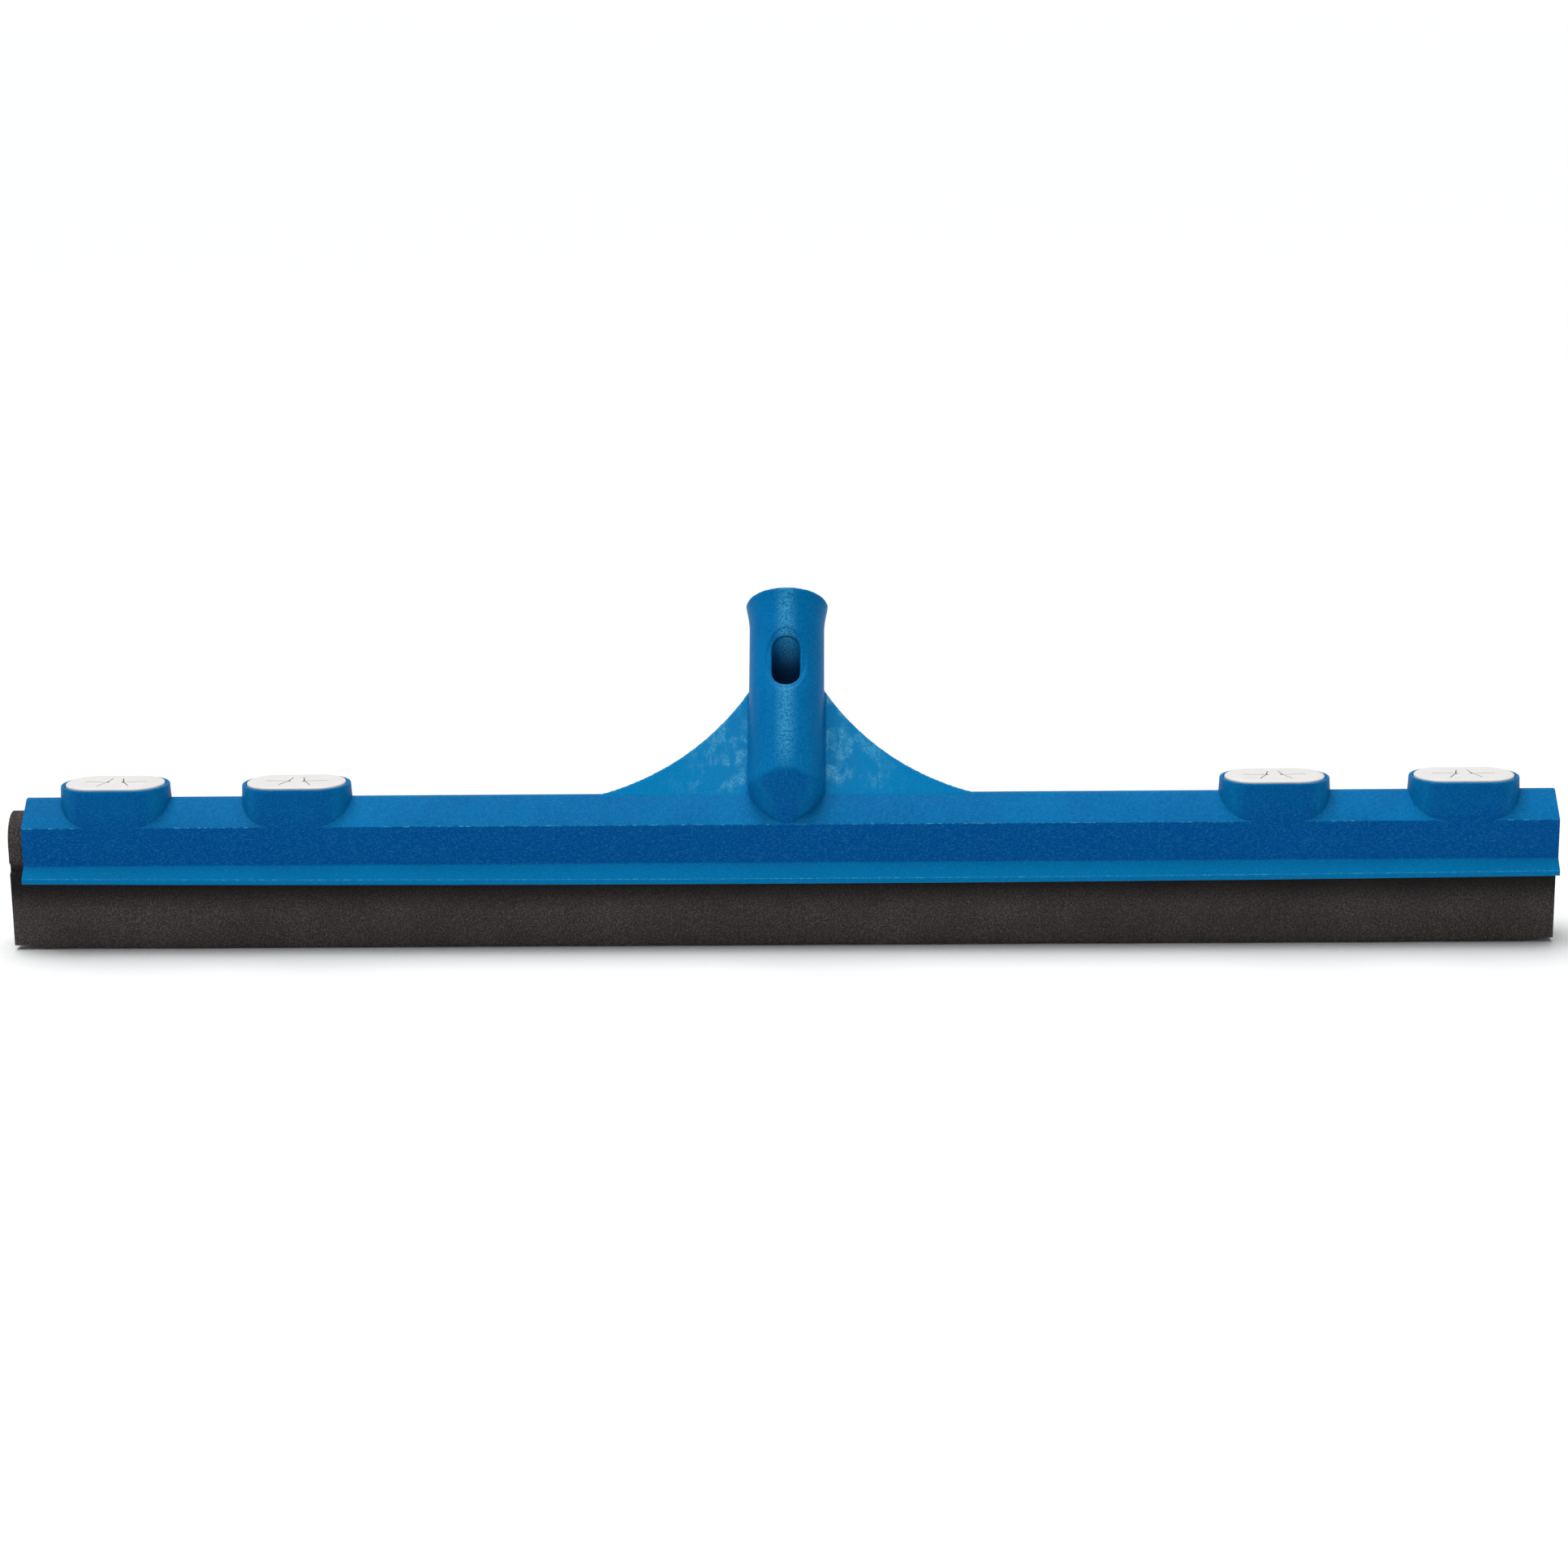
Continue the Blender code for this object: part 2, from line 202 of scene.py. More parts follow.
# among these colours: a painted shade for upright faces, a painted light for the webs and lips, a painted
# highlight down the socket, rub wear with a painted highlight along edges, and a painted shade in the bore
blue = {"deep": "#005f99", "light": "#006fab", "wall": "#004c93", "paintedLight": "#0079b3", "fleck": "#3c92c4",
        "flow": "#5fb0d2", "crown": "#46a4cc", "rubAndHighlight": "#3f98c4", "boreShade": "#04143c",
        "roughness": 0.38, "gloss": 0.03, "tint": "#8cc8f0",
        "mottle": 30 * mm, "speck": 1.3 * mm, "grain": 0.35 * mm, "grainDepth": 0.006 * mm,
        "dust": (0.8 * mm, 0.35 * mm, 0.35 * mm), "wallShadeLow": 48 * mm, "wallShadeHigh": 58 * mm,
        "streak": (3 * mm, 8 * mm, 11 * mm), "cloud": 8 * mm, "grit": 0.6 * mm,
        "flowNear": 15 * mm, "flowFar": 52 * mm, "flowLow": 57 * mm, "flowHigh": 64 * mm,
        "highlightHalf": 5.5 * mm, "highlightLow": 70 * mm, "highlightHigh": 82 * mm, "rubGrain": 1.6 * mm}


def makeBlueLook():
    # the satin skin of a polypropylene moulding: even blue with a fine grain and pale flow marks, with
    # painted shade and painted light in its colour
    made, tree, shader, place = newMaterial("polypropyleneMoulded", blue["roughness"])
    shader.inputs["Specular IOR Level"].default_value = blue["gloss"]
    shader.inputs["Specular Tint"].default_value = colour(blue["tint"])
    smooth = {"interpolation_type": "SMOOTHSTEP"}
    times = {"operation": "MULTIPLY"}
    axes = addNode(tree, "SeparateXYZ", {}, {"Vector": place})
    reach = addNode(tree, "Math", {"operation": "ABSOLUTE"}, {0: axes.outputs["X"]})

    mottle = addNode(tree, "TexNoise", {}, {"Vector": place, "Scale": 1 / blue["mottle"], "Detail": 3.0})
    speck = addNode(tree, "TexNoise", {}, {"Vector": place, "Scale": 1 / blue["speck"], "Detail": 4.0})
    both = addNode(tree, "Math", {"operation": "ADD"}, {0: mottle.outputs["Fac"], 1: speck.outputs["Fac"]})
    even = addNode(tree, "MapRange", {}, {"Value": both.outputs[0], "From Min": 0.72, "From Max": 1.28})
    base = addNode(tree, "MixRGB", {}, {
        "Fac": even.outputs["Result"], "Color1": colour(blue["deep"]), "Color2": colour(blue["light"])})

    # painted shade: what faces straight forwards or back is painted a deeper blue, a little less so high up
    normal = addNode(tree, "NewGeometry", {}, {}).outputs["Normal"]
    facing = addNode(tree, "SeparateXYZ", {}, {"Vector": normal})
    square = addNode(tree, "Math", {"operation": "ABSOLUTE"}, {0: facing.outputs["Y"]})
    square = addNode(tree, "MapRange", smooth, {
        "Value": square.outputs[0], "From Min": 0.76, "From Max": 0.98, "To Min": 0.0, "To Max": 0.85})
    uprightShade = addNode(tree, "MapRange", smooth, {
        "Value": facing.outputs["Z"], "From Min": 0.55, "From Max": 0.05})
    lowerShade = addNode(tree, "MapRange", smooth, {
        "Value": axes.outputs["Z"], "From Min": blue["wallShadeHigh"], "From Max": blue["wallShadeLow"],
        "To Min": 0.75})
    wall = addNode(tree, "Math", times, {0: square.outputs["Result"], 1: uprightShade.outputs["Result"]})
    wall = addNode(tree, "Math", times, {0: wall.outputs[0], 1: lowerShade.outputs["Result"]})

    # painted light: the thin sections, the webs and the flared lips, are painted a lighter blue
    paintedLight = addNode(tree, "Attribute", {"attribute_name": "paintedLight"}, {})

    # fine light flecks in the skin, drawn out along the moulding
    drawn = addNode(tree, "Mapping", {}, {"Vector": place, "Scale": [1 / size for size in blue["dust"]]})
    dust = addNode(tree, "TexNoise", {}, {"Vector": drawn.outputs["Vector"], "Scale": 1.0, "Detail": 3.0})
    fleck = addNode(tree, "MapRange", {}, {
        "Value": dust.outputs["Fac"], "From Min": 0.48, "From Max": 0.74, "To Max": 0.30})

    # cloudy, gritty flow marks on the webs, strongest beside the socket
    near = addNode(tree, "MapRange", smooth, {
        "Value": reach.outputs[0], "From Min": blue["flowFar"], "From Max": blue["flowNear"]})
    above = addNode(tree, "MapRange", smooth, {
        "Value": axes.outputs["Z"], "From Min": blue["flowLow"], "From Max": blue["flowHigh"]})
    drawn = addNode(tree, "Mapping", {}, {"Vector": place, "Scale": [1 / size for size in blue["streak"]]})
    streak = addNode(tree, "TexNoise", {}, {
        "Vector": drawn.outputs["Vector"], "Scale": 1.0, "Detail": 4.0, "Distortion": 0.6})
    cloud = addNode(tree, "TexNoise", {}, {"Vector": place, "Scale": 1 / blue["cloud"], "Detail": 2.0})
    grit = addNode(tree, "TexNoise", {}, {"Vector": place, "Scale": 1 / blue["grit"], "Detail": 2.0})
    layers = []
    for layer, low, high in ((streak, 0.38, 0.58), (cloud, 0.42, 0.56), (grit, 0.35, 0.62)):
        layers.append(addNode(tree, "MapRange", {}, {
            "Value": layer.outputs["Fac"], "From Min": low, "From Max": high}))
    marks = layers[0]
    for layer in layers[1:]:
        marks = addNode(tree, "Math", times, {0: marks.outputs[0], 1: layer.outputs["Result"]})
    veil = addNode(tree, "MapRange", {}, {"Value": marks.outputs[0], "To Min": 0.05, "To Max": 0.9})
    flow = near
    for layer in (above.outputs["Result"], paintedLight.outputs["Fac"], veil.outputs["Result"]):
        flow = addNode(tree, "Math", times, {0: flow.outputs[0], 1: layer})

    # a painted highlight down the socket's front, broken up by the grit
    crown = addNode(tree, "MapRange", smooth, {
        "Value": reach.outputs[0], "From Min": blue["highlightHalf"], "From Max": 0.0})
    highlightRise = addNode(tree, "MapRange", smooth, {
        "Value": axes.outputs["Z"], "From Min": blue["highlightLow"], "From Max": blue["highlightHigh"],
        "To Max": 0.75})
    for layer in (highlightRise, layers[2]):
        crown = addNode(tree, "Math", times, {0: crown.outputs[0], 1: layer.outputs["Result"]})

    # broken pale marks along the deck's front edge, part rub wear and part painted highlight, and an unbroken
    # painted highlight line above the lip's edge
    rubAndHighlight = addNode(tree, "Attribute", {"attribute_name": "rubAndHighlight"}, {})
    breaks = addNode(tree, "TexNoise", {}, {"Vector": place, "Scale": 1 / blue["rubGrain"], "Detail": 5.0})
    breaks = addNode(tree, "MapRange", {}, {
        "Value": breaks.outputs["Fac"], "From Min": 0.47, "From Max": 0.66, "To Min": -1.0, "To Max": 0.0})
    wornAndLit = addNode(tree, "Math", {"operation": "ADD", "use_clamp": True}, {
        0: rubAndHighlight.outputs["Fac"], 1: breaks.outputs["Result"]})

    # painted shade: the bore darkens the further down it goes
    boreShade = addNode(tree, "Attribute", {"attribute_name": "boreShade"}, {})

    coats = ((wall.outputs[0], "wall"), (paintedLight.outputs["Fac"], "paintedLight"), (fleck.outputs["Result"], "fleck"),
             (flow.outputs[0], "flow"), (crown.outputs[0], "crown"), (wornAndLit.outputs[0], "rubAndHighlight"),
             (boreShade.outputs["Fac"], "boreShade"))
    for share, name in coats:
        base = addNode(tree, "MixRGB", {}, {
            "Fac": share, "Color1": base.outputs["Color"], "Color2": colour(blue[name])})
    tree.links.new(base.outputs["Color"], shader.inputs["Base Color"])

    grain = addNode(tree, "TexNoise", {}, {"Vector": place, "Scale": 1 / blue["grain"], "Detail": 2.0})
    linkBump(tree, shader, grain.outputs["Fac"], blue["grainDepth"])
    return made


white = {"base": "#e6e3e0", "soft": "#dad7d4", "roughness": 0.5, "cloud": 9 * mm,
         "grain": 0.25 * mm, "grainDepth": 0.01 * mm}


def makeWhiteLook():
    # matt skin of a soft thermoplastic rubber, a little clouded
    made, tree, shader, place = newMaterial("thermoplasticRubberMoulded", white["roughness"])
    cloud = addNode(tree, "TexNoise", {}, {"Vector": place, "Scale": 1 / white["cloud"], "Detail": 3.0})
    base = addNode(tree, "MixRGB", {}, {
        "Fac": cloud.outputs["Fac"], "Color1": colour(white["base"]), "Color2": colour(white["soft"])})
    tree.links.new(base.outputs["Color"], shader.inputs["Base Color"])
    grain = addNode(tree, "TexNoise", {}, {"Vector": place, "Scale": 1 / white["grain"], "Detail": 2.0})
    linkBump(tree, shader, grain.outputs["Fac"], white["grainDepth"])
    return made


# the darkest colour here is a painted shadow under the channel's lips
foam = {"dark": "#1f1d1d", "light": "#585150", "speck": "#8d857d", "paintedLipShadow": "#100e0d",
        "roughness": 0.9, "gloss": 0.15, "pore": 0.55 * mm, "poreDepth": 0.10 * mm, "patch": 26 * mm,
        "dot": 0.6 * mm, "lipShade": ((14, 26), (38, 31)),
        "gapHalf": 4.4, "gapTop": 29.0, "half": 10.4, "shoulder": 42.4, "crown": 11.0,
        "bulbZ": 41.0, "bulb": 5.6, "stem": 3.8, "bite": 8.9, "biteLow": 31.6, "biteHigh": 34.3}


def makeFoamLook():
    # split face of closed-cell moss rubber: dark walls round fine open cells, a few catching light
    made, tree, shader, place = newMaterial("mossRubberSplit", foam["roughness"])
    shader.inputs["Specular IOR Level"].default_value = foam["gloss"]
    pores = addNode(tree, "TexVoronoi", {"feature": "F1"}, {"Vector": place, "Scale": 1 / foam["pore"]})
    cell = addNode(tree, "MapRange", {}, {
        "Value": pores.outputs["Distance"], "From Min": 0.15, "From Max": 0.75})
    patch = addNode(tree, "TexNoise", {}, {"Vector": place, "Scale": 1 / foam["patch"], "Detail": 4.0})
    patch = addNode(tree, "MapRange", {}, {
        "Value": patch.outputs["Fac"], "From Min": 0.3, "From Max": 0.7, "To Min": 0.7, "To Max": 1.0})
    shade = addNode(tree, "Math", {"operation": "MULTIPLY"}, {
        0: cell.outputs["Result"], 1: patch.outputs["Result"]})
    base = addNode(tree, "MixRGB", {}, {
        "Fac": shade.outputs[0], "Color1": colour(foam["dark"]), "Color2": colour(foam["light"])})
    dots = addNode(tree, "TexNoise", {}, {"Vector": place, "Scale": 1 / foam["dot"], "Detail": 2.0})
    bright = addNode(tree, "MapRange", {}, {
        "Value": dots.outputs["Fac"], "From Min": 0.60, "From Max": 0.76, "To Max": 0.5})
    base = addNode(tree, "MixRGB", {}, {
        "Fac": bright.outputs["Result"], "Color1": base.outputs["Color"], "Color2": colour(foam["speck"])})

    # painted shadow: the long faces are painted darker just under the channel's lips
    height = addNode(tree, "SeparateXYZ", {}, {"Vector": place}).outputs["Z"]
    normal = addNode(tree, "NewGeometry", {}, {}).outputs["Normal"]
    facing = addNode(tree, "SeparateXYZ", {}, {"Vector": normal})
    paintedLipShadow = addNode(tree, "Math", {"operation": "ABSOLUTE"}, {0: facing.outputs["Y"]})
    for low, high in foam["lipShade"]:
        band = addNode(tree, "MapRange", {"interpolation_type": "SMOOTHSTEP"}, {
            "Value": height, "From Min": low * mm, "From Max": high * mm, "To Max": 0.92})
        paintedLipShadow = addNode(tree, "Math", {"operation": "MULTIPLY"}, {
            0: paintedLipShadow.outputs[0], 1: band.outputs["Result"]})
    base = addNode(tree, "MixRGB", {}, {
        "Fac": paintedLipShadow.outputs[0], "Color1": base.outputs["Color"], "Color2": colour(foam["paintedLipShadow"])})
    tree.links.new(base.outputs["Color"], shader.inputs["Base Color"])
    linkBump(tree, shader, pores.outputs["Distance"], foam["poreDepth"])
    return made


core = {"base": "#6d7072", "line": "#7d8082", "roughness": 0.45, "draw": 1.2 * mm, "drawDepth": 0.02 * mm}


def makeCoreLook():
    # drawn grey plastic, with faint lines along its length
    made, tree, shader, place = newMaterial("plasticExtruded", core["roughness"])
    drawn = addNode(tree, "Mapping", {}, {"Vector": place, "Scale": (4, 1 / core["draw"], 1 / core["draw"])})
    lines = addNode(tree, "TexNoise", {}, {"Vector": drawn.outputs["Vector"], "Scale": 1.0, "Detail": 3.0})
    base = addNode(tree, "MixRGB", {}, {
        "Fac": lines.outputs["Fac"], "Color1": colour(core["base"]), "Color2": colour(core["line"])})
    tree.links.new(base.outputs["Color"], shader.inputs["Base Color"])
    linkBump(tree, shader, lines.outputs["Fac"], core["drawDepth"])
    return made


# channel: sizes in mm from the middle plane and from the floor
shell = {"wall": 2.5, "half": 13.2, "flat": 1.5, "top": 58.6, "ridge": 49.7, "foot": 34.5,
         "lipHalf": 17.5, "lip": 27.0, "lipEdge": 2.0,
         "arch": 1.4, "archIn": (11.5, 13.0), "archUp": (29.2, 33.4),
         "jawHalf": 9.2, "jawLow": 32.0, "jawHigh": 34.0, "step": 9.0}
slope = (shell["top"] - shell["ridge"]) / (shell["half"] - shell["flat"])


def deckHeight(y):    # metres, from the middle plane
    out = min(max(abs(y) - shell["flat"] * mm, 0), (shell["half"] - shell["flat"]) * mm)
    return shell["top"] * mm - out * slope


def makeChannel():
    inner = shell["half"] - shell["wall"]
    roofDrop = shell["wall"] * hypot(1, slope)
    roofTop = shell["top"] - shell["wall"]
    roofFlat = (shell["ridge"] + shell["half"] * slope - roofDrop - roofTop) / slope
    half = [
        (shell["flat"], shell["top"], 1.6),
        (shell["half"], shell["ridge"], 0.7),
        (shell["half"], shell["foot"], 1.6),
        (shell["lipHalf"] - 0.25, shell["lip"] + shell["lipEdge"] + 0.1, 0.9),
        (shell["lipHalf"], shell["lip"], 0.55),
        (shell["lipHalf"] - 2.1, shell["lip"], 0.4),
        (shell["lipHalf"] - 2.3, shell["lip"] + 1.2, 0.5),
        (inner + 1.2, shell["jawLow"] - 0.2, 0.5),
        (shell["jawHalf"], shell["jawLow"], 0.3),
        (shell["jawHalf"], shell["jawHigh"], 0.3),
        (inner, shell["jawHigh"] + 0.6, 0.4),
        (inner, shell["ridge"] + shell["wall"] * slope - roofDrop, 0.8),
        (roofFlat, roofTop, 0.8),
    ]
    outline = roundedOutline(bothSides(half))
    length = shellHigh.x - shellLow.x
    count = round(length / (shell["step"] * mm))
    rings = []
    for k in range(count + 1):
        x = shellLow.x + length * k / count
        rise = shell["arch"] * mm * (2 * x / length) ** 2
        ring = []
        for y, z in outline:    # only the flared lips follow the arch
            outward = smoothStep(abs(y) / mm, *shell["archIn"])
            share = outward * (1 - smoothStep(z / mm, *shell["archUp"]))
            ring.append((x, midY + y, z + rise * share))
        rings.append(ring)
    made = loft("channelShell", rings)
    for k in cups:
        hole = [(cupX[k] + x, midY + y) for x, y in stadium(cup["straight"] * mm, cup["hole"] * mm)]
        combine(made, loft("hole", [[(x, y, z * mm) for x, y in hole] for z in cup["holeZ"]]))

    # rub wear with a painted highlight along the deck's front edge, and a painted highlight line along the
    # lip's edge
    def rubAndHighlightShare(point):
        across = abs(point.y - midY) / mm
        up = (point.z - shell["arch"] * mm * (2 * point.x / length) ** 2) / mm
        offLip = hypot(across - shell["lipHalf"] + 0.25, up - shell["lip"] - shell["lipEdge"] - 0.1)
        if offLip < 0.3:
            return 1.5 * (1 - smoothStep(offLip, 0.06, 0.22))
        if min(abs(point.x - cupX[k]) for k in cups) < 15 * mm:
            return 0
        return 1 - smoothStep(hypot(across - shell["half"], point.z / mm - shell["ridge"]), 0.12, 0.33)

    paint(made, "rubAndHighlight", rubAndHighlightShare)
    # painted light on the flared lips
    paint(made, "paintedLight", lambda point: 0.85 * (1 - smoothStep(point.z, 33.8 * mm, 34.4 * mm)))
    finishPiece(made, blueLook, "frame", ["channel_frame"], sharp=28)


# cups: (outwards from the oval's radius, height), in mm
cup = {"straight": 8.3, "radius": 12.9, "hole": 7.0, "holeZ": (46.0, 62.0),
       "wall": 1.6, "ledge": 2.0, "rim": 64.2, "ledgeZ": 61.2}


def makeCup(k):
    rings = []
    for side in (1, -1):
        for j in range(33):
            turn = pi * (j / 32 - 0.5) + (0 if side == 1 else pi)
            across, up = cos(turn), sin(turn)
            upper = [(-cup["wall"] - cup["ledge"], cup["ledgeZ"]), (-cup["wall"], cup["ledgeZ"]),
                     (-cup["wall"], cup["rim"] - 0.5), (-cup["wall"] + 0.15, cup["rim"] - 0.12),
                     (-cup["wall"] + 0.5, cup["rim"]), (-0.45, cup["rim"]), (-0.12, cup["rim"] - 0.12),
                     (0.02, cup["rim"] - 0.45), (0.08, cup["rim"] - 2.0)]
            points = [(cup["radius"] * mm + out * mm, z * mm) for out, z in upper]
            foot = (cup["radius"] + 0.33) * mm
            low = deckHeight(foot * up)
            points.append((foot, low + 0.1 * mm))
            # the cup runs on down where it hangs over the deck's edge
            sunk = smoothStep(abs(foot * up), (shell["half"] - 1.2) * mm, shell["half"] * mm)
            points.append((foot - 0.12 * mm * sunk, low - (1.2 + 1.6 * sunk) * mm))
            well = (cup["radius"] - cup["wall"] - cup["ledge"]) * mm
            points.append((well, deckHeight(well * up) - 1.2 * mm))
            centreX = cupX[k] + side * cup["straight"] * mm
            rings.append([(centreX + r * across, midY + r * up, z) for r, z in points])
    made = loft(f"cup_{k}", rings, closed=True)
    finishPiece(made, blueLook, "frame", [f"gripper_cup_{k}"], sharp=40)


# membranes: sizes in mm; a star's arm tips are measured from its centre
membrane = {"radius": 11.0, "top": 64.9, "foot": 61.5, "thick": 1.5, "bead": 2.5, "starX": 3.0, "slit": 0.45,
            "dot": 0.8, "arms": ((3.0, -6.3), (9.3, 0.8), (-1.2, 5.6)), "bend": 50, "fold": 1.3}


def starPoints(k, side):
    centre = Vector((cupX[k] + side * membrane["starX"] * mm, midY))
    return [centre] + [centre + Vector((side * x, y)) * mm for x, y in membrane["arms"]]


def makeMembrane(k):
    top = membrane["top"]
    profile = [(-membrane["bead"], top - membrane["thick"]), (-membrane["bead"], membrane["foot"]),
               (-0.15, membrane["foot"]), (0, membrane["foot"] + 0.15), (0, top - 0.75), (-0.06, top - 0.45),
               (-0.25, top - 0.2), (-0.5, top - 0.06), (-0.85, top)]
    rings = []
    for out, z in profile:
        ring = stadium(cup["straight"] * mm, (membrane["radius"] + out) * mm)
        rings.append([(cupX[k] + x, midY + y, z * mm) for x, y in ring])
    made = loft(f"membraneSkin_{k}", rings)
    heights = ((top - 2.4) * mm, (top + 1) * mm)
    for side, word in ((-1, "left"), (1, "right")):
        centre, front, out, back = starPoints(k, side)
        hole = loft("hole", [[(*p, z) for p in (centre, front, out, back)] for z in heights])
        combine(made, hole)
        angles = [pi * j / 8 for j in range(16)]
        dot = [centre + Vector((cos(a), sin(a))) * membrane["dot"] * mm for a in angles]
        combine(made, loft("dot", [[(*p, z) for p in dot] for z in heights]))
        makeFlap(f"{k}_{word}_front", centre, front, out, (1, 0.5))
        makeFlap(f"{k}_{word}_back", centre, out, back, (0.5, 1))
    finishPiece(made, whiteLook, "frame", [f"membrane_{k}"])


def makeFlap(name, apex, tipA, tipB, shares):
    # shares: how much of the slit's width each side edge gives up
    along = (tipB - tipA).normalized()
    inward = Vector((-along.y, along.x))
    if inward.dot(apex - tipA) < 0:
        inward.negate()
    height = (apex - tipA).dot(inward)
    lean = membrane["thick"] * tan(radians(membrane["bend"])) * mm
    near = [0.2 * mm * j for j in range(8)]
    far = [near[-1] + (height - 0.45 * mm - near[-1]) * j / 5 for j in range(1, 6)]
    rings = []
    for reach in near + far:
        part = reach / height
        a, b = tipA.lerp(apex, part), tipB.lerp(apex, part)
        slit = membrane["slit"] * mm
        slantA = abs((apex - tipA).normalized().cross(along))
        slantB = abs((apex - tipB).normalized().cross(along))
        a = a + along * min(slit * shares[0] / slantA, 0.45 * (b - a).length)
        b = b - along * min(slit * shares[1] / slantB, 0.45 * (b - a).length)
        top = membrane["top"] * mm
        low = top - membrane["thick"] * mm * min(1, max(reach, 0.05 * mm) / lean)
        rings.append([(*a, top), (*b, top), (*b, low), (*a, low)])
    made = loft(f"flapSkin_{name}", rings)
    finishPiece(made, whiteLook, None, [f"flap_{name}"])
    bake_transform(made)


# foam blade
def makeBlade():
    low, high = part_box("foam_blade")
    meet = -asin(sqrt(1 - (foam["stem"] / foam["bulb"]) ** 2))
    inner = []
    for j in range(11):
        turn = pi / 2 + (meet - pi / 2) * j / 10
        inner.append((foam["bulb"] * cos(turn), foam["bulbZ"] + foam["bulb"] * sin(turn), 0))
    inner += [(foam["stem"], foam["gapTop"] + 1.5, 0.4), (foam["gapHalf"], foam["gapTop"], 0.6)]
    inner += [(foam["gapHalf"], 0, 0.5), (foam["half"], 0, 0.8)]
    outer = [(foam["half"], foam["biteLow"] - 1.0, 0.9), (foam["bite"], foam["biteLow"], 0.4)]
    outer += [(foam["bite"], foam["biteHigh"], 0.4), (foam["half"], foam["biteHigh"] + 0.7, 0.5)]
    for j in range(13):
        turn = pi / 2 * j / 12
        outer.append((foam["half"] * cos(turn), foam["shoulder"] + foam["crown"] * sin(turn), 0))
    outline = roundedOutline(bothSides(inner + outer))
    dense = []
    for k, point in enumerate(outline):    # no stretch longer than 3 mm
        after = outline[(k + 1) % len(outline)]
        parts = max(1, round((after - point).length / (3 * mm)))
        dense += [point.lerp(after, j / parts) for j in range(parts)]
    length = high.x - low.x
    count = round(length / (3 * mm))
    middleX = (low.x + high.x) / 2
    rings = []
    for k in range(count + 1):
        x = low.x + length * k / count
        ring = []
        for y, z in dense:
            free = 1 - smoothStep(z, 20 * mm, 28 * mm)
            wave = noise.noise(Vector((x * 35, y * 60, z * 60)))
            y += 0.22 * mm * wave * free
            lift = 0.4 * (1 + noise.noise(Vector((x * 16, 2 if y > 0 else 7, 3))))
            lift += 1.1 * smoothStep(abs(x - middleX), length / 2 - 14 * mm, length / 2)
            z += lift * mm * (1 - smoothStep(z, 0, 9 * mm))
            ring.append((x, midY + y, z))
        rings.append(ring)
    made = loft("foamBlade", rings)
    finishPiece(made, foamLook, "blade_cassette", ["foam_blade"], sharp=50)


# handle socket with its webs, one smooth moulding; s runs up the leaning axis, mm
socket = {"lean": 39.0, "axisZ": 65.2, "radius": 14.8, "mouth": 16.35, "mouthS": 75.2, "flare": 10.5,
          "boreMouth": 12.2, "boreEnd": 11.2, "boreEndS": 3.5, "slotS": 44.3, "slotWide": 10.9,
          "slotLong": 21.6, "noseHalf": 14.85, "noseDeep": 13.2, "dishWide": 16.6, "dishLong": 28.4,
          "dish": 0.8, "slotIn": 9, "slotOut": 22,
          "webHalf": 75.0, "webHigh": 45.2, "webThick": 3.0, "webBend": (36.6, 10.8), "webRoot": 12.9,
          "sink": 0.9, "reach": 45.0, "voxel": 0.6, "smooth": 7, "noseSmooth": 68}
lean = radians(socket["lean"])
axisUp = Vector((0, sin(lean), cos(lean)))
axisFront = Vector((0, -cos(lean), sin(lean)))


def onSocket(x, s, out):    # mm to a point in the row frame
    return Vector((x * mm, midY, socket["axisZ"] * mm)) + axisUp * s * mm + axisFront * out * mm


def turned(name, profile, steps=96):
    rings = []
    for r, s in profile:
        angles = [2 * pi * k / steps for k in range(steps)]
        rings.append([onSocket(r * cos(a), s, r * sin(a)) for a in angles])
    return loft(name, rings)


def makeWeb(side):
    front = Vector((0, -shell["flat"], shell["top"] - socket["axisZ"]))
    base, face = front.dot(axisUp), front.dot(axisFront)
    root, end = socket["webRoot"], socket["webHalf"] + 3
    corners = [(root, base - 8), (end, base - 8), (end, base)]
    for k in range(25):
        t = k / 24
        first, middle, last = (1 - t) ** 2, 2 * t * (1 - t), t * t
        x = first * socket["webHalf"] + middle * socket["webBend"][0] + last * socket["radius"]
        corners.append((x, base + middle * socket["webBend"][1] + last * socket["webHigh"]))
    corners.append((root, base + socket["webHigh"]))
    sides = (face, face - socket["webThick"])
    return loft("web", [[onSocket(side * x, s, out) for x, s in corners] for out in sides])


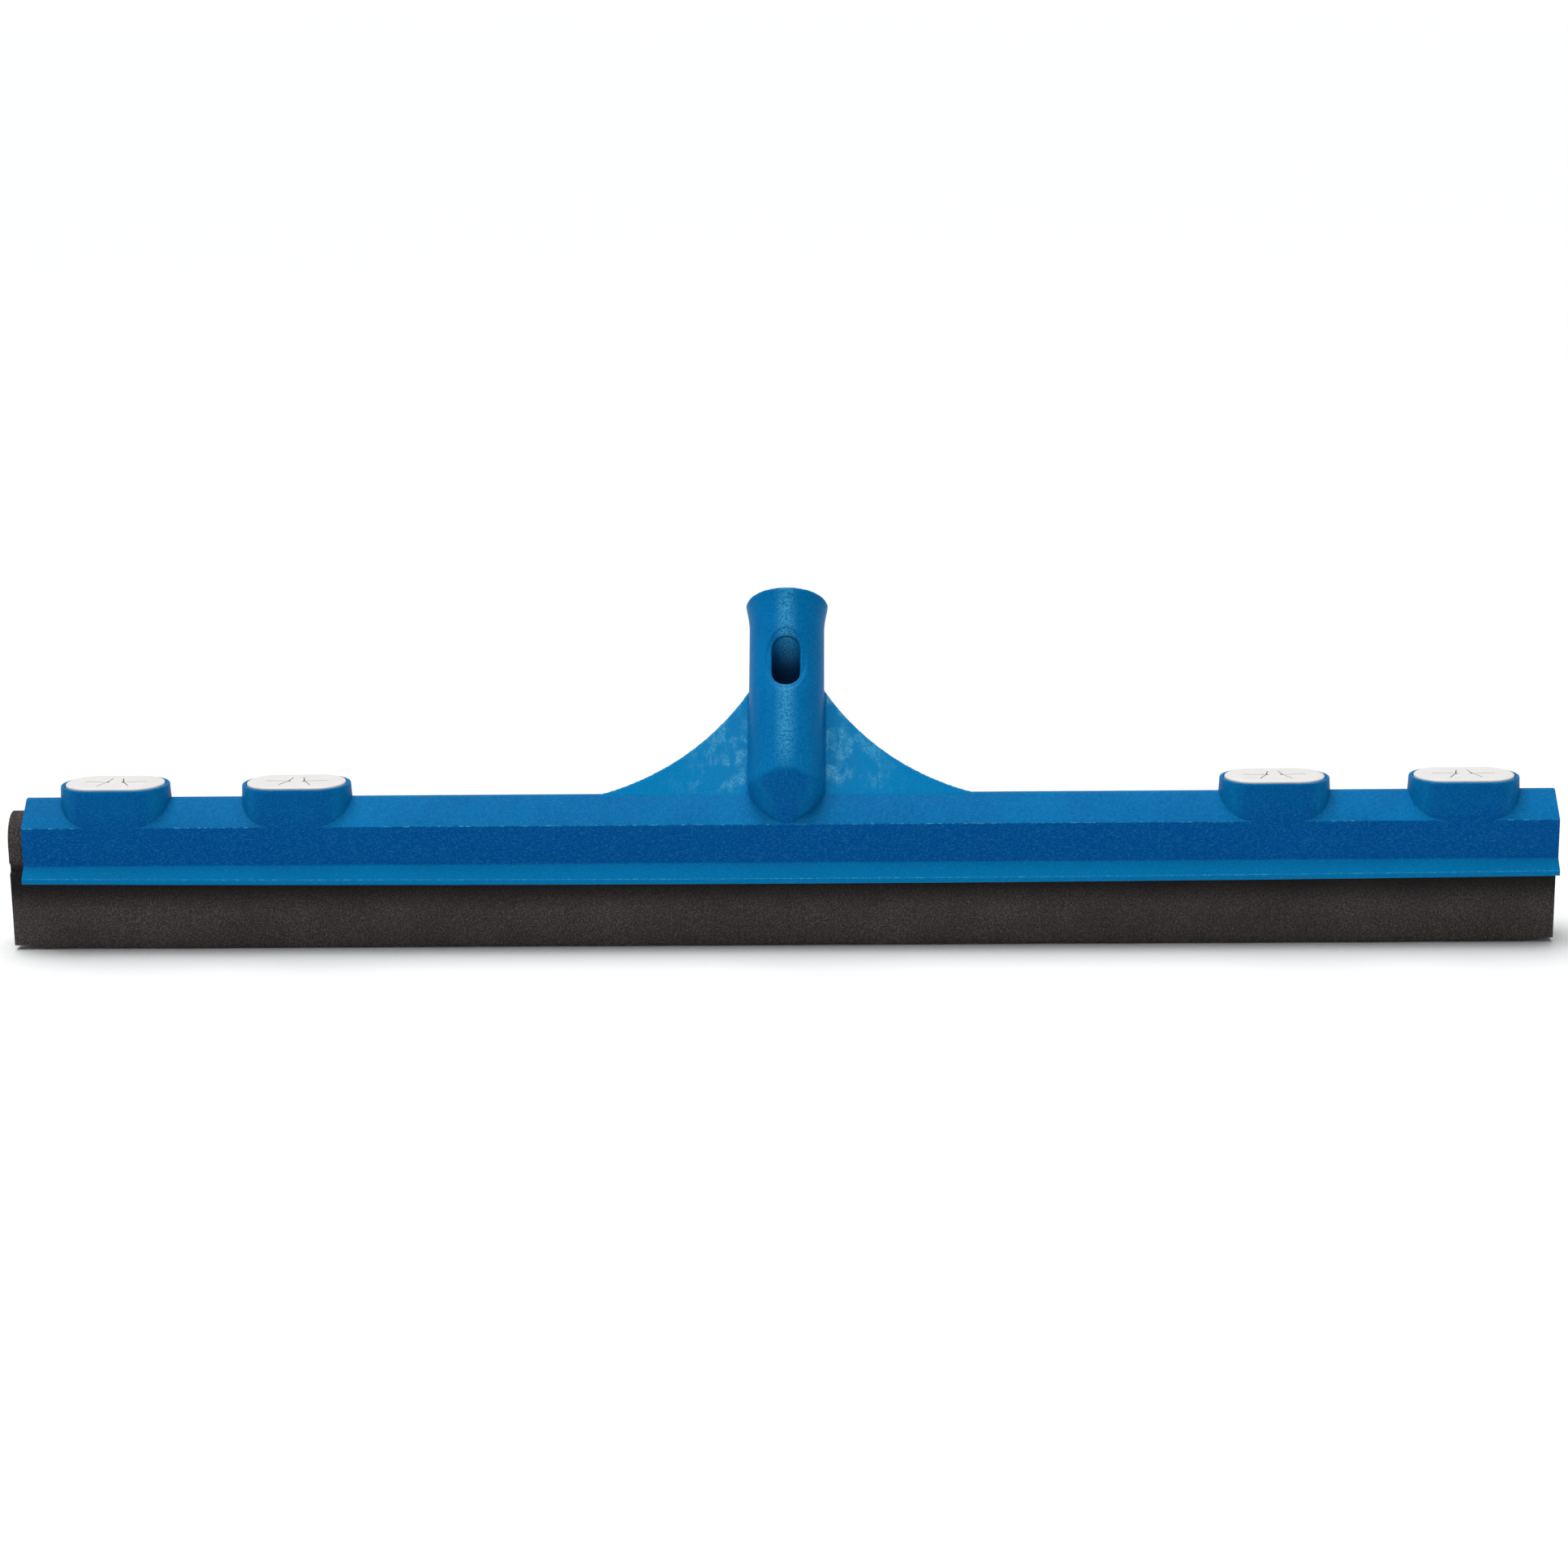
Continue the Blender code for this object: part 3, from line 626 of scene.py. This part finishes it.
def makeSocket():
    flare = []
    for k in range(9):
        part = 1 - k / 8
        grown = (socket["mouth"] - socket["radius"]) * part ** 1.7
        flare.append((socket["radius"] + grown, socket["mouthS"] - 0.8 - socket["flare"] * (1 - part)))
    profile = [(socket["boreEnd"], socket["boreEndS"]), (socket["boreMouth"], socket["mouthS"] - 1)]
    profile += [(socket["boreMouth"] + 0.8, socket["mouthS"]), (socket["mouth"] - 0.6, socket["mouthS"])]
    made = turned("socketAndWebs", profile + flare + [(socket["radius"], -30)])

    # the nose: all that stands forward of the channel's middle is trimmed to a rounded block
    keep = []
    for z in (20, 50, 57, 60, 63, 66, 69, 73, 180):    # a soft point at the deck, squarer further up
        power = 2 / (1.5 + 2.0 * smoothStep(z, 57, 73))
        nose = []
        for k in range(49):
            across, deep = cos(pi + pi * k / 48), sin(pi * k / 48)
            x = socket["noseHalf"] * abs(across) ** power * (1 if across > 0 else -1)
            nose.append((x, -socket["noseDeep"] * abs(deep) ** power))
        nose += [(socket["noseHalf"], 18), (33, 24), (33, 120)]
        nose += [(-33, 120), (-33, 24), (-socket["noseHalf"], 18)]
        keep.append([(x * mm, midY + y * mm, z * mm) for x, y in nose])
    combine(made, loft("keep", keep), "INTERSECT")
    for side in (-1, 1):
        combine(made, makeWeb(side), "UNION")

    end = socket["slotWide"] / 2
    oval = stadium(socket["slotLong"] / 2 - end, end)
    depths = (socket["slotIn"], socket["slotOut"])
    combine(made, loft("slot", [[onSocket(x, socket["slotS"] + s, out) for s, x in oval] for out in depths]))

    # cut off a little below the deck, which it stands in
    sink, reach = socket["sink"], socket["reach"]
    edge = shell["ridge"] + (shell["half"] - reach) * slope - sink
    block = [(shell["flat"], shell["top"] - sink), (reach, edge), (reach, -60), (-reach, -60), (-reach, edge),
             (-shell["flat"], shell["top"] - sink)]
    block = [[(x, midY + y * mm, z * mm) for y, z in block] for x in (-0.12, 0.12)]
    combine(made, loft("block", block))

    # one skin over all of it, with soft blends and a softer nose
    step = made.modifiers.new("remesh", "REMESH")
    step.mode, step.voxel_size = "VOXEL", socket["voxel"] * mm
    bake(made)
    nose = made.vertex_groups.new(name="nose")
    for vert in made.data.vertices:
        away = vert.co - onSocket(0, 0, 0)
        share = smoothStep(-away.y, 6 * mm, 9 * mm) * (1 - smoothStep(vert.co.z, 78 * mm, 86 * mm))
        if share > 0:
            nose.add([vert.index], share, "REPLACE")
    for group, turns in (("", socket["smooth"]), ("nose", socket["noseSmooth"])):
        step = made.modifiers.new("smooth", "SMOOTH")
        step.factor, step.iterations, step.vertex_group = 0.5, turns, group
    bake(made)

    # a shallow dish round the slot
    origin = onSocket(0, socket["slotS"], 0)
    for vert in made.data.vertices:
        away = vert.co - origin
        out = away.dot(axisFront) / mm
        ring = hypot(away.x / mm / (socket["dishWide"] / 2), away.dot(axisUp) / mm / (socket["dishLong"] / 2))
        if out > socket["slotIn"] and ring < 1.1:
            vert.co -= axisFront * socket["dish"] * mm * (1 - smoothStep(ring, 0.90, 1.0))

    # painted shade down the bore
    def boreShadeShare(point):
        away = point - onSocket(0, 0, 0)
        depth = socket["mouthS"] - away.dot(axisUp) / mm
        off = hypot(away.x, away.dot(axisFront)) / mm
        if depth > socket["mouthS"] - 2:
            return 0
        edge = socket["boreMouth"]
        return 0.95 * (1 - smoothStep(off, edge, edge + 1.2)) * smoothStep(depth, 0, 26)

    # painted light on the webs
    def webLightShare(point):
        return smoothStep(abs(point.x), 15.0 * mm, 16.0 * mm) * smoothStep(point.z, 58.0 * mm, 59.0 * mm)

    paint(made, "boreShade", boreShadeShare)
    paint(made, "paintedLight", webLightShare)
    finishPiece(made, blueLook, "frame", ["handle_socket", "web_left", "web_right"], sharp=60)


blueLook, whiteLook = makeBlueLook(), makeWhiteLook()
foamLook, coreLook = makeFoamLook(), makeCoreLook()
makeChannel()
print("channel built")
for k in cups:
    makeCup(k)
    makeMembrane(k)
print("cups and membranes built")
makeBlade()
print("blade built")
makeSocket()
print("socket built")

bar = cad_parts["core_bar"]
bar.data.materials.clear()
bar.data.materials.append(coreLook)
edges = bar.modifiers.new("edges", "BEVEL")
edges.width, edges.segments = 0.25 * mm, 2

# stage and light
studio = {"floor": "#efefee", "fibre": "#f2f2f1", "world": "#e4eaf0", "worldFront": 0.02, "worldSide": 0.30,
          "sun": 3.0, "sunWide": 50, "sunTilt": (8, 9), "flat": 26, "curve": 8}


def makeFloor():
    # one round sweep: a flat floor that curves up far behind the object on every side
    rings = []
    for k in range(-6, 21):
        turn = pi / 2 * max(0, k) / 20
        r = studio["flat"] * (1 + min(k, 0) / 6.5) + studio["curve"] * sin(turn)
        z = studio["curve"] * (1 - cos(turn)) - 0.0001
        rings.append([(r * cos(2 * pi * j / 64), r * sin(2 * pi * j / 64), z) for j in range(64)])
    made = loft("floor", rings, capEnds=False)
    bm = bmesh.new()
    bm.from_mesh(made.data)
    bmesh.ops.contextual_create(bm, geom=[e for e in bm.edges if e.is_boundary and e.verts[0].co.z < 0.001])
    bm.to_mesh(made.data)
    bm.free()
    look, tree, shader, place = newMaterial("paperBackdrop", 0.9)
    shader.inputs["Specular IOR Level"].default_value = 0.0
    fibre = addNode(tree, "TexNoise", {}, {"Vector": place, "Scale": 1 / (2 * mm), "Detail": 2.0})
    base = addNode(tree, "MixRGB", {}, {
        "Fac": fibre.outputs["Fac"], "Color1": colour(studio["floor"]), "Color2": colour(studio["fibre"])})
    tree.links.new(base.outputs["Color"], shader.inputs["Base Color"])
    made.data.materials.append(look)
    made.data.shade_smooth()


def addSun():
    lamp = bpy.data.lights.new("softTop", "SUN")
    lamp.energy, lamp.angle = studio["sun"], radians(studio["sunWide"])
    made = bpy.data.objects.new("softTop", lamp)
    bpy.context.scene.collection.objects.link(made)
    made.rotation_euler = (-radians(studio["sunTilt"][0]), -radians(studio["sunTilt"][1]), 0)


def addLight(name, place, aim, size, power):
    lamp = bpy.data.lights.new(name, "AREA")
    lamp.shape, lamp.size, lamp.size_y, lamp.energy = "RECTANGLE", size[0], size[1], power
    made = bpy.data.objects.new(name, lamp)
    bpy.context.scene.collection.objects.link(made)
    made.location = place
    made.rotation_euler = (Vector(aim) - Vector(place)).to_track_quat("-Z", "Y").to_euler()


makeFloor()
addSun()
addLight("strip", (-0.12, -0.75, 1.45), (0, 0.02, 0.09), (0.10, 0.9), 2.2)
addLight("sideFill", (-1.1, -1.1, 0.35), (-0.2, 0, 0.03), (0.5, 0.5), 1.2)
world = bpy.data.worlds.new("studio")    # pale at the sides and behind, dark towards the viewer
world.use_nodes = True
around = addNode(world.node_tree, "TexCoord", {}, {}).outputs["Generated"]
around = addNode(world.node_tree, "SeparateXYZ", {}, {"Vector": around})
around = addNode(world.node_tree, "MapRange", {"interpolation_type": "SMOOTHSTEP"}, {
    "Value": around.outputs["Y"], "From Min": -0.9, "From Max": 0.1,
    "To Min": studio["worldFront"], "To Max": studio["worldSide"]})
backdrop = world.node_tree.nodes["Background"]
backdrop.inputs["Color"].default_value = colour(studio["world"])
world.node_tree.links.new(around.outputs["Result"], backdrop.inputs["Strength"])
bpy.context.scene.world = world
bpy.context.scene.view_settings.view_transform = "Standard"
print("studio lit")
